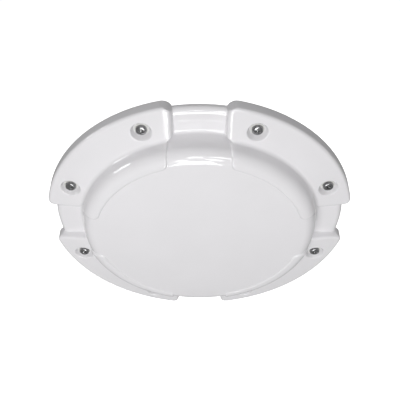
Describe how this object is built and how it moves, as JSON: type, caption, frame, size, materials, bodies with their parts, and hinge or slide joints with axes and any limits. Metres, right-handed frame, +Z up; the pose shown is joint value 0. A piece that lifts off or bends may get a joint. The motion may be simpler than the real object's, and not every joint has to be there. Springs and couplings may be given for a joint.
{
  "type": "underwater pool light",
  "caption": "Round surface-mounted underwater pool light: a domed opal cover screwed to a sealed housing that twists onto a wall bracket.",
  "frame": {"origin": "centre of the wall bracket's back face, on the pool wall and on the lamp's axis", "axes": "+Z up the wall; +Y into the wall, so the lamp looks along -Y; +X to the right seen from the front"},
  "size_m": [0.2744, 0.0729, 0.2744],
  "materials": {
    "opal_cover": "glossy opal white polycarbonate",
    "housing_plastic": "satin white moulded plastic",
    "bracket_plastic": "fine-grained white moulded plastic",
    "silicone_seal": "matte translucent grey silicone",
    "brass_insert": "machined",
    "nylon_washer": "natural nylon",
    "stainless_screw": "bright stainless steel",
    "gland_nylon": "moulded black nylon",
    "gland_rubber": "matte black rubber",
    "spreader_aluminium": "rolled sheet",
    "thermal_silicone": "matte grey-blue pad",
    "led_board_white": "white solder mask on aluminium",
    "led_phosphor": "yellow phosphor window",
    "connector_white": "moulded",
    "reflector_white": "white reflector plastic",
    "circuit_board": "green solder mask",
    "component_black": "moulded epoxy",
    "capacitor_sleeve": "shrink sleeve",
    "terminal_green": "moulded",
    "lead_red": "insulated wire",
    "lead_black": "insulated wire"
  },
  "bodies": {
    "bracket": {"wall_bracket": "bracket_plastic"},
    "lamp": {"rear_housing": "housing_plastic", "front_cover": "opal_cover", "cover_gasket": "silicone_seal", "threaded_inserts": "brass_insert", "screw_washers": "nylon_washer", "cover_screws": "stainless_screw", "gland_body": "gland_nylon", "gland_seal": "gland_rubber", "gland_cap": "gland_nylon", "gland_washer": "gland_rubber", "gland_locknut": "gland_nylon", "heat_spreader": "spreader_aluminium", "thermal_pad": "thermal_silicone", "led_board": "led_board_white", "led_chips": "led_phosphor", "led_connector": "connector_white", "board_screws": "stainless_screw", "reflector_ring": "reflector_white", "driver_board": "circuit_board", "driver_screws": "stainless_screw", "driver_inductor": "component_black", "driver_capacitors": "capacitor_sleeve", "bridge_rectifier": "component_black", "driver_controller": "component_black", "supply_terminal": "terminal_green", "output_connector": "connector_white", "led_lead_positive": "lead_red", "led_lead_negative": "lead_black"}
  },
  "joints": [
    {"name": "bayonet_twist", "type": "hinge", "parent": "bracket", "child": "lamp", "pos_m": [0, 0, 0], "axis": [0, -1, 0], "range_deg": [0, 30]}
  ]
}
